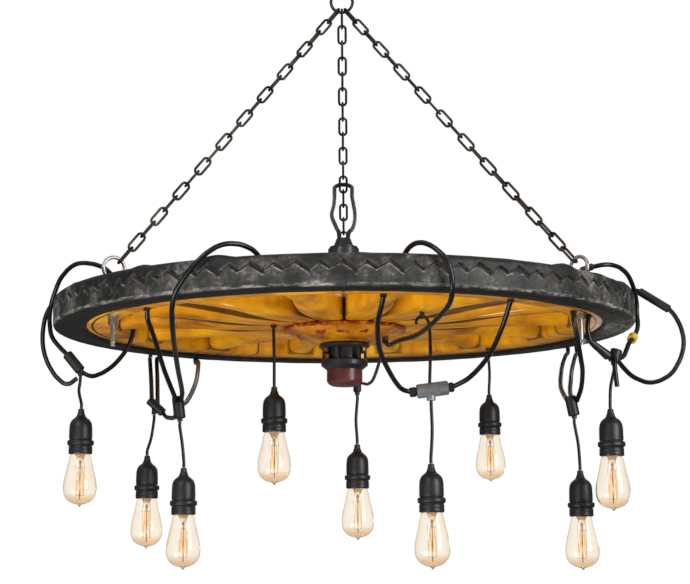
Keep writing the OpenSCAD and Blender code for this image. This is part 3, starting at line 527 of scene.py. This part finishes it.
# Millimetres. A period is one wide and one narrow falling stroke of the tread,
# with a rising stroke after each.
tyreLook = {"periods": 46, "perPeriod": 26, "groove": 36, "swing": 7.6, "depth": 5, "seed": 7,
    "wideStroke": 7.4, "narrowStroke": 5.6, "risingStroke": 3.0, "risingDepth": 0.5, "lump": 9, "dent": 0.9}
rng = random.Random(tyreLook["seed"])
strokes = [(rng.uniform(0.85, 1.15), rng.uniform(-1.2, 1.2)) for _ in range(tyreLook["periods"])]


def wobble(angle, z, scale, seed):
    return noise.noise(Vector((math.cos(angle) * scale, math.sin(angle) * scale, z + seed)))


def grooveAt(angle):
    turn = angle / (2 * math.pi) * tyreLook["periods"]
    index, t = int(turn) % tyreLook["periods"], turn % 1
    size, shift = strokes[index]
    knots = [(0.0, 1), (0.27, -1), (0.5, 0.75), (0.72, -0.7), (1.0, 1)]
    for (a, va), (b, vb) in zip(knots, knots[1:]):
        if a <= t <= b:
            break
    level = va + (vb - va) * (t - a) / (b - a)
    falling = vb < va
    wide = tyreLook["wideStroke" if a == 0 else "narrowStroke"] if falling else tyreLook["risingStroke"]
    centre = tyreLook["groove"] + shift * math.sin(math.pi * t) + level * tyreLook["swing"] * size
    return centre, wide, falling


def clamped(value):
    return max(0.0, min(1.0, value))


tyreProfile = [(510, 3), (511.5, 1), (514, 0), (528, -0.2), (541, 0), (546, 0.4), (548, 2), (550, 0.4), (556, 0),
    (562, 0.3), (564.8, 1.4), (566.3, 3.2), (567, 5.6), (567, 8), (567, 11), (567, 14.5), (567, 18), (567, 21)]
tyreProfile += [(567, 22 + 0.9 * k) for k in range(29)]
tyreProfile += [(566.6, 49.5), (565.4, 52), (563, 54.6), (559.5, 56.6), (555, 57.8), (545, 58.4), (528, 58.6),
    (516, 58.4), (512, 57.4), (510, 55)]
vertices = []
marks = {"groove": [], "wearAndHighlight": [], "under": [], "above": []}  # what the tyre's material reads at each point
columns = tyreLook["periods"] * tyreLook["perPeriod"]
for r, z in tyreProfile:
    for k in range(columns):
        angle = 2 * math.pi * k / columns
        centre, wide, falling = grooveAt(angle)
        cut = max(0.0, 1 - abs(z - centre) / wide)
        cut = cut * cut * (3 - 2 * cut)
        outside = 1.0 if r > 560 else 0.0
        lowerFace = r < 565 and z < 6
        depth = cut * outside * tyreLook["depth"] * (1.0 if falling else tyreLook["risingDepth"])
        lump = max(0.0, wobble(angle, 0, 9, 3.1) - 0.12) * tyreLook["lump"] if z > 50 else 0.0
        radius = r - depth + tyreLook["dent"] * wobble(angle, z * 0.06, 26, 5.0) * outside
        up = z + lump * (1 if r > 530 else 0.3) + 0.5 * wobble(angle, z, 14, 9)
        vertices.append(place(radius * math.sin(angle), -radius * math.cos(angle), up))
        # rubbed spots that are partly painted highlights: the lower corner and the strokes' lips; and a painted
        # reflection at the right end of the lower face
        reach = 3 + 22 * max(0.0, wobble(angle, 0, 7, 21) - 0.2)
        corner = 0.8 * max(0.0, 1 - abs(z - 4.4) / reach) if r > 564 else 0.0
        strength = (1.0 if falling else 0.5) if z < centre else 0.1
        lip = max(0.0, 1 - abs(abs(z - centre) - wide * 0.9) / 1.8) * outside * strength
        # painted reflection: lightens the right end of the lower face and weakens its dark underside there
        paintedReflection = max(0.0, 1 - abs(angle - 1.5) / 0.35) if lowerFace else 0.0
        marks["groove"].append(min(1.0, cut * outside * (1.0 if falling else 0.6)))
        marks["wearAndHighlight"].append(max(corner, lip, 0.6 * paintedReflection))
        marks["under"].append(clamped((564.6 - r) / 2) * (1 - 0.8 * paintedReflection) if z < 6 else 0.0)
        marks["above"].append(clamped((z - centre - 3) / 4) if z > 20 else 0.0)
tyreMesh = meshFrom("tyre", vertices, gridFaces(len(tyreProfile), columns, closedRows=True))
for name, values in marks.items():
    tyreMesh.attributes.new(name, "FLOAT", "POINT").data.foreach_set("value", values)

# solid vulcanised rubber, weathered: dull grey-black skin with chalky scuffs,
# brown earth packed in the tread, pale rubbed lips and lower corner that are partly painted highlights, a painted
# reflection on the right end of the lower face, and painted shade above the tread
tyrePaint = {"skin": [(0.38, "#0d0d0c"), (0.46, "#212120"), (0.54, "#3d3c3a"), (0.62, "#716e69")],
    "chalk": "#8d8b87", "shade": "#0f0e0d", "paleWearAndHighlight": [(0.5, "#9a9082"), (0.62, "#c9c1b5")],
    "earth": [(0.35, "#0b0704"), (0.52, "#1d130b"), (0.68, "#503826")], "underside": "#0f0b08",
    "cloud": 62.5, "pore": 6.667, "scuff": 23.81, "speck": 11.11}  # pattern sizes, mm
tyreMaterial, add, shader = newMaterial("weathered solid rubber", {"Specular IOR Level": 0.4})
point = add("TexCoord", output="Object")
cloud = add("TexNoise", {"Vector": point, "Scale": perMetre(tyrePaint["cloud"]), "Detail": 7, "Roughness": 0.62})
pore = add("TexNoise", {"Vector": point, "Scale": perMetre(tyrePaint["pore"]), "Detail": 8, "Roughness": 0.7})
flat = add("Mapping", {"Vector": point, "Scale": (1, 1, 3.2)})
scuff = add("TexNoise", {"Vector": flat, "Scale": perMetre(tyrePaint["scuff"]), "Detail": 9, "Roughness": 0.72})
speck = add("TexNoise", {"Vector": point, "Scale": perMetre(tyrePaint["speck"]), "Detail": 6, "Roughness": 0.8})
mostly = add("Math", {0: cloud, 1: 0.65}, operation="MULTIPLY")
blend = add("Math", {0: pore, 1: 0.35, 2: mostly}, operation="MULTIPLY_ADD")
colour = add("ValToRGB", {"Fac": blend}, stops=tyrePaint["skin"])
speckShare = add("MapRange", {"Value": speck, "From Min": 0.56, "From Max": 0.68, "To Max": 0.7})
speckPlace = add("MapRange", {"Value": cloud, "From Min": 0.46, "From Max": 0.6})
specks = add("Math", {0: speckShare, 1: speckPlace}, operation="MULTIPLY")
scuffShare = add("MapRange", {"Value": scuff, "From Min": 0.60, "From Max": 0.74, "To Max": 0.6})
chalk = add("Math", {0: specks, 1: scuffShare}, operation="MAXIMUM")
# painted shade: the rubber above the tread is darkened in patches
shadeShare = add("MapRange", {"Value": cloud, "From Min": 0.6, "From Max": 0.48, "To Max": 0.78})
shaded = add("Math", {0: add("Attribute", output="Fac", attribute_name="above"), 1: shadeShare}, operation="MULTIPLY")
# pale wear that is partly painted highlight, on the lower corner and the strokes' lips
wearHighlightShare = add("MapRange", {"Value": scuff, "From Min": 0.44, "From Max": 0.56, "To Max": 0.92})
wornAndHighlight = add("Math", {0: add("Attribute", output="Fac", attribute_name="wearAndHighlight"), 1: wearHighlightShare}, operation="MULTIPLY")
packed = add("MapRange", {"Value": add("Attribute", output="Fac", attribute_name="groove"), "From Min": 0.08,
    "From Max": 0.5})
below = add("Attribute", output="Fac", attribute_name="under")
belowShare = add("Math", {0: below, 1: 0.92}, operation="MULTIPLY")
for share, over in (
        (chalk, linear(tyrePaint["chalk"])),
        (shaded, linear(tyrePaint["shade"])),
        (wornAndHighlight, add("ValToRGB", {"Fac": scuff}, stops=tyrePaint["paleWearAndHighlight"])),
        (packed, add("ValToRGB", {"Fac": pore}, stops=tyrePaint["earth"])),
        (belowShare, linear(tyrePaint["underside"]))):
    colour = add("Mix", {0: share, 6: colour, 7: over}, 2, data_type="RGBA")
rough = add("MapRange", {"Value": pore, "From Min": 0.35, "From Max": 0.65, "To Min": 0.40, "To Max": 0.66})
relief = add("Math", {0: pore, 1: scuff}, operation="ADD")
setInputs(shader, {"Base Color": colour,
    "Roughness": add("Math", {0: below, 1: 0.08, 2: rough}, operation="MULTIPLY_ADD"),
    "Normal": add("Bump", {"Strength": 0.55, "Distance": 0.0015, "Height": relief})})
addPiece("tyre_solid", tyreMesh, tyreMaterial, "wheel_assembly", "tyre", sharp=180)
print("stage: tyre")


def aroundHub(add, point):
    x = add("SeparateXYZ", {"Vector": point}, "X")
    y, z = x.node.outputs["Y"], x.node.outputs["Z"]
    square = add("Math", {0: add("Math", {0: x, 1: x}, operation="MULTIPLY"),
        1: add("Math", {0: y, 1: y}, operation="MULTIPLY")}, operation="ADD")
    return add("Math", {0: square}, operation="SQRT"), add("Math", {0: x, 1: y}, operation="ARCTAN2"), z


# oil paint brushed on ash: golden, ochre where it is thin, with cream flecks
# along the grain that are painted highlights, dark chips, dark joints, and painted shade in the seams and on the
# flanks
woodPaint = {"paint": [(0.36, "#854a02"), (0.45, "#bd7603"), (0.54, "#dc9404"), (0.66, "#f5b81f")],
    "glint": "#f0dcae", "chip": "#5c3812", "line": "#1c140c", "shadeAndJoints": "#1d1107",
    "lineRadius": 0.4925, "edgeRadius": 0.5025,  # metres
    "patch": 142.9, "grit": 4.167, "chipSize": 18.18}  # pattern sizes, mm
woodMaterial, add, shader = newMaterial("golden gloss paint on wood", {
    "Coat Weight": 0.05, "Coat Roughness": 0.2, "Specular IOR Level": 0.16})
point = add("TexCoord", output="Object")
radius, bearing, z = aroundHub(add, point)
polar = add("CombineXYZ", {"X": add("Math", {0: radius, 1: 1.2}, operation="MULTIPLY"),
    "Y": add("Math", {0: bearing, 1: 2.2}, operation="MULTIPLY"), "Z": z})
streak = add("TexNoise", {"Vector": polar, "Scale": 9, "Detail": 8, "Roughness": 0.6})  # brush marks, 90 mm long
patch = add("TexNoise", {"Vector": point, "Scale": perMetre(woodPaint["patch"]), "Detail": 6, "Roughness": 0.6})
grit = add("TexNoise", {"Vector": point, "Scale": perMetre(woodPaint["grit"]), "Detail": 7, "Roughness": 0.65})
chip = add("TexNoise", {"Vector": point, "Scale": perMetre(woodPaint["chipSize"]), "Detail": 9, "Roughness": 0.75})
along = add("Mapping", {"Vector": polar, "Scale": (0.7, 2.4, 8)})
glintFleck = add("TexNoise", {"Vector": along, "Scale": 6, "Detail": 3, "Roughness": 0.45})  # painted highlights: long, narrow flecks
mostly = add("Math", {0: patch, 1: 0.65}, operation="MULTIPLY")
blend = add("Math", {0: streak, 1: 0.35, 2: mostly}, operation="MULTIPLY_ADD")
colour = add("ValToRGB", {"Fac": blend}, stops=woodPaint["paint"])
fromLine = add("Math", {0: add("Math", {0: radius, 1: woodPaint["lineRadius"]}, operation="SUBTRACT")},
    operation="ABSOLUTE")
thinLine = add("MapRange", {"Value": fromLine, "From Min": 0.0016, "From Max": 0.0028, "To Min": 1.0, "To Max": 0.0})
rimEdge = add("MapRange", {"Value": radius, "From Min": woodPaint["edgeRadius"],
    "From Max": woodPaint["edgeRadius"] + 0.001})
# painted shade on the upper flanks of the sideways spokes, from the rise attribute, joined with the dark joints and
# painted shade of the seams
low = add("MapRange", {"Value": add("Attribute", output="Fac", attribute_name="rise"), "From Min": -0.12,
    "From Max": 0.06, "To Max": 0.97})
shadeAndJoints = add("Math", {0: low, 1: add("Attribute", output="Fac", attribute_name="seamAndShade")}, operation="MAXIMUM")
for share, over in (
        (add("MapRange", {"Value": glintFleck, "From Min": 0.70, "From Max": 0.74}), woodPaint["glint"]),
        (add("MapRange", {"Value": chip, "From Min": 0.665, "From Max": 0.70}), woodPaint["chip"]),
        (add("Math", {0: thinLine, 1: rimEdge}, operation="MAXIMUM"), woodPaint["line"]),
        (add("Math", {0: shadeAndJoints, 1: 0.9}, operation="MULTIPLY"), woodPaint["shadeAndJoints"])):
    colour = add("Mix", {0: share, 6: colour, 7: linear(over)}, 2, data_type="RGBA")
relief = add("Math", {0: grit, 1: streak}, operation="ADD")
setInputs(shader, {"Base Color": colour,
    "Roughness": add("MapRange", {"Value": grit, "From Min": 0.35, "From Max": 0.65, "To Min": 0.32, "To Max": 0.5}),
    "Normal": add("Bump", {"Strength": 0.22, "Distance": 0.0008, "Height": relief})})


def addWood(name, mesh, seamsAndShade, rises, replaced, sharp):
    mesh.attributes.new("seamAndShade", "FLOAT", "POINT").data.foreach_set("value", seamsAndShade)
    mesh.attributes.new("rise", "FLOAT", "POINT").data.foreach_set("value", rises)
    addPiece(name, mesh, woodMaterial, "wheel_assembly", replaced, sharp=sharp)


# Millimetres; rounded corners run 15 mm in from the felloe's inner edge.
spokeLook = {"count": 14, "mid": 29, "sides": 40}
felloeLook = {"in": 442.7, "out": 505.7, "low": 5, "top": 53, "count": 7, "steps": 120, "gap": 0.5}
inner, outer, low, top = (felloeLook[k] for k in ("in", "out", "low", "top"))
section = [(inner, low + 11), (inner + 1, low + 6.5), (inner + 4, low + 3), (inner + 9, low + 0.8), (inner + 15, low),
    (outer - 2, low), (outer, low + 1.6), (outer, top - 1.6), (outer - 2, top), (inner + 15, top),
    (inner + 9, top - 0.8), (inner + 4, top - 3), (inner + 1, top - 6.5), (inner, top - 11)]
vertices, faces, seamsAndShade = [], [], []
span = 2 * math.pi / felloeLook["count"]
gap = felloeLook["gap"] / inner
for i in range(felloeLook["count"]):
    first = len(vertices)
    for s in range(felloeLook["steps"] + 1):
        angle = span * i + gap / 2 + (span - gap) * s / felloeLook["steps"]
        atEnd = s in (0, felloeLook["steps"])
        draw = 0.6 if atEnd else 0.0
        for r, z in section:
            r2 = r + draw * (1 if r < 460 else -1)
            z2 = z + draw * (1 if z < spokeLook["mid"] else -1)
            vertices.append(place(r2 * math.sin(angle), -r2 * math.cos(angle), z2))
            # dark joints at the felloe ends; painted shade where a spoke enters, and high up on the inner face
            aside = abs((angle / (2 * math.pi) * spokeLook["count"]) % 1 - 0.5) * 2 * math.pi / spokeLook["count"] * r
            shade = max(0.0, 1 - max(0.0, aside - 27) / 7) if r < 450 else 0.0
            high = 0.6 * clamped((z - 34) / 12) if r < 446 else 0.0
            seamsAndShade.append(1.0 if atEnd else max(0.75 * shade, high))
    n = len(section)
    faces += [tuple(first + v for v in f) for f in gridFaces(felloeLook["steps"] + 1, n)]
    faces.append(tuple(first + k for k in reversed(range(n))))
    faces.append(tuple(first + felloeLook["steps"] * n + k for k in range(n)))
addWood("felloe_ring", meshFrom("felloes", vertices, faces), seamsAndShade, [-1.0] * len(vertices), "felloes", 50)

wedge = 2 * math.tan(math.pi / spokeLook["count"])
spokeSections = [(62, 62 * wedge - 0.6, 44, 7), (100, 100 * wedge - 0.6, 44, 7), (126, 126 * wedge - 0.6, 44, 7),
    (150, 150 * wedge - 0.8, 44, 6), (172, 172 * wedge - 1.4, 44, 5), (190, 81.5, 43.8, 4.2), (210, 82.5, 43.2, 3.6),
    (232, 80, 42.4, 3.1), (258, 72.5, 41.2, 2.8), (284, 62.5, 40.2, 2.5), (310, 54.5, 39, 2.3), (335, 49.5, 38.4, 2.2),
    (365, 48, 38, 2.2), (395, 48.4, 38.2, 2.2), (415, 50, 38.8, 2.3), (430, 52.4, 39.6, 2.5), (438, 54, 40, 2.7),
    (441.5, 53, 39.4, 2.8)]


def power(value, exponent):
    return math.copysign(abs(value) ** (2 / exponent), value)


vertices, faces, seamsAndShade, rises = [], [], [], []
n, m = spokeLook["sides"], len(spokeSections)
for i in range(spokeLook["count"]):
    angle = (i + 0.5) * 2 * math.pi / spokeLook["count"]
    out, side = Vector((math.sin(angle), -math.cos(angle), 0)), Vector((math.cos(angle), math.sin(angle), 0))
    sideways = abs(math.sin(angle)) > 0.7
    first = len(vertices)
    for r, w, h, square in spokeSections:
        for k in range(n):
            a = 2 * math.pi * (k + 0.5) / n
            p = out * r + side * (w / 2 * power(math.cos(a), square))
            vertices.append(place(p.x, p.y, spokeLook["mid"] + h / 2 * power(math.sin(a), square)))
            # painted shade: flanks darken where light can't reach and where the spokes close on each other; a dark
            # joint line where a spoke enters the felloe
            flank = clamped((abs(math.cos(a)) - 0.6) * 5)
            clear = max(1.0, 0.16 * (r * wedge - w)) + 0.5
            level = h / 2 * (1 + power(math.sin(a), square)) - clear
            rises.append(level / 10 if flank > 0 and sideways else -1.0)
            seamsAndShade.append(max(flank * clamped((215 - r) / 40), 1.0 if r > 438.5 else 0.0))
    faces += [tuple(first + v for v in f) for f in gridFaces(m, n)]
    faces.append(tuple(first + k for k in reversed(range(n))))
    faces.append(tuple(first + (m - 1) * n + k for k in range(n)))
addWood("spoke_set", meshFrom("spokes", vertices, faces), seamsAndShade, rises, "spokes", 60)
print("stage: wood")

# the same golden paint over cast iron, with red dashes and a red edge put on by hand
hubLook = {"paint": [(0.36, "#804703"), (0.48, "#b87204"), (0.58, "#d48d06"), (0.7, "#eeaa18")],
    "red": [(0.38, "#6d1216"), (0.55, "#9b231b"), (0.68, "#b8432a")],
    "dashes": 14, "dashRadius": 0.0925, "edgeRadius": 0.1150,  # metres
    "patch": 71.43, "grit": 4.167, "splash": 26.32, "bristle": 14.29}  # pattern sizes, mm
hubPaint, add, shader = newMaterial("golden paint with red dashes", {
    "Coat Weight": 0.05, "Coat Roughness": 0.2, "Specular IOR Level": 0.16})
point = add("TexCoord", output="Object")
radius, bearing, z = aroundHub(add, point)
patch = add("TexNoise", {"Vector": point, "Scale": perMetre(hubLook["patch"]), "Detail": 7, "Roughness": 0.6})
grit = add("TexNoise", {"Vector": point, "Scale": perMetre(hubLook["grit"]), "Detail": 7, "Roughness": 0.65})
splash = add("TexNoise", {"Vector": point, "Scale": perMetre(hubLook["splash"]), "Detail": 7, "Roughness": 0.7})
bristle = add("TexNoise", {"Vector": point, "Scale": perMetre(hubLook["bristle"]), "Detail": 6, "Roughness": 0.7})
offset = add("Math", {0: splash, 1: 0.9}, operation="MULTIPLY")
turn = add("Math", {0: bearing, 1: hubLook["dashes"] / (2 * math.pi), 2: offset}, operation="MULTIPLY_ADD")
fromMiddle = add("Math", {0: add("Math", {0: add("Math", {0: turn}, operation="FRACT"), 1: 0.5},
    operation="SUBTRACT")}, operation="ABSOLUTE")
dashes = add("MapRange", {"Value": fromMiddle, "From Min": 0.22, "From Max": 0.27, "To Min": 1.0, "To Max": 0.0})
brushed = add("Math", {0: add("Math", {0: splash, 1: 0.5}, operation="SUBTRACT"), 1: 0.03, 2: radius},
    operation="MULTIPLY_ADD")
fromRing = add("Math", {0: add("Math", {0: brushed, 1: hubLook["dashRadius"]}, operation="SUBTRACT")},
    operation="ABSOLUTE")
ring = add("MapRange", {"Value": fromRing, "From Min": 0.0024, "From Max": 0.0042, "To Min": 1.0, "To Max": 0.0})
edge = add("MapRange", {"Value": brushed, "From Min": hubLook["edgeRadius"],
    "From Max": hubLook["edgeRadius"] + 0.0025})
dashed = add("Math", {0: ring, 1: dashes}, operation="MULTIPLY")
painted = add("Math", {0: edge, 1: dashed}, operation="MAXIMUM")
ragged = add("MapRange", {"Value": bristle, "From Min": 0.40, "From Max": 0.5})
share = add("Math", {0: ragged, 1: painted}, operation="MULTIPLY")
setInputs(shader, {
    "Base Color": add("Mix", {0: share, 6: add("ValToRGB", {"Fac": patch}, stops=hubLook["paint"]),
        7: add("ValToRGB", {"Fac": grit}, stops=hubLook["red"])}, 2, data_type="RGBA"),
    "Roughness": add("MapRange", {"Value": grit, "From Min": 0.35, "From Max": 0.65, "To Min": 0.28, "To Max": 0.46}),
    "Normal": add("Bump", {"Strength": 0.25, "Distance": 0.0006, "Height": grit})})

# Nodes that keep their CAD shape.
carried = {
    "hanging_ring": darkIron, "chain_left": darkIron, "chain_right": darkIron, "chain_rear": darkIron,
    "eye_bolts": zinc, "eye_nuts": zinc, "rim_band": rimSteel, "hub_flanges": hubPaint, "hub_barrel": blackIron,
    "hub_neck": blackIron, "hub_collar": blackIron, "hub_cap": capRed, "hub_top": blackIron,
    "cable_gland": blackPlastic, "brass_nuts": brassMetal, "cable_clips": blackPlastic,
    "inline_connectors": blackPlastic, "tee_connector": greyMetal, "cable_tag": yellowPlastic,
}
for name, paint in carried.items():
    obj = nodes[name]
    for material in obj.material_slots:
        material.link = "OBJECT"
        material.material = paint
    if not obj.material_slots:
        obj.data.materials.append(paint)
print("stage: carried nodes")

low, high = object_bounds()
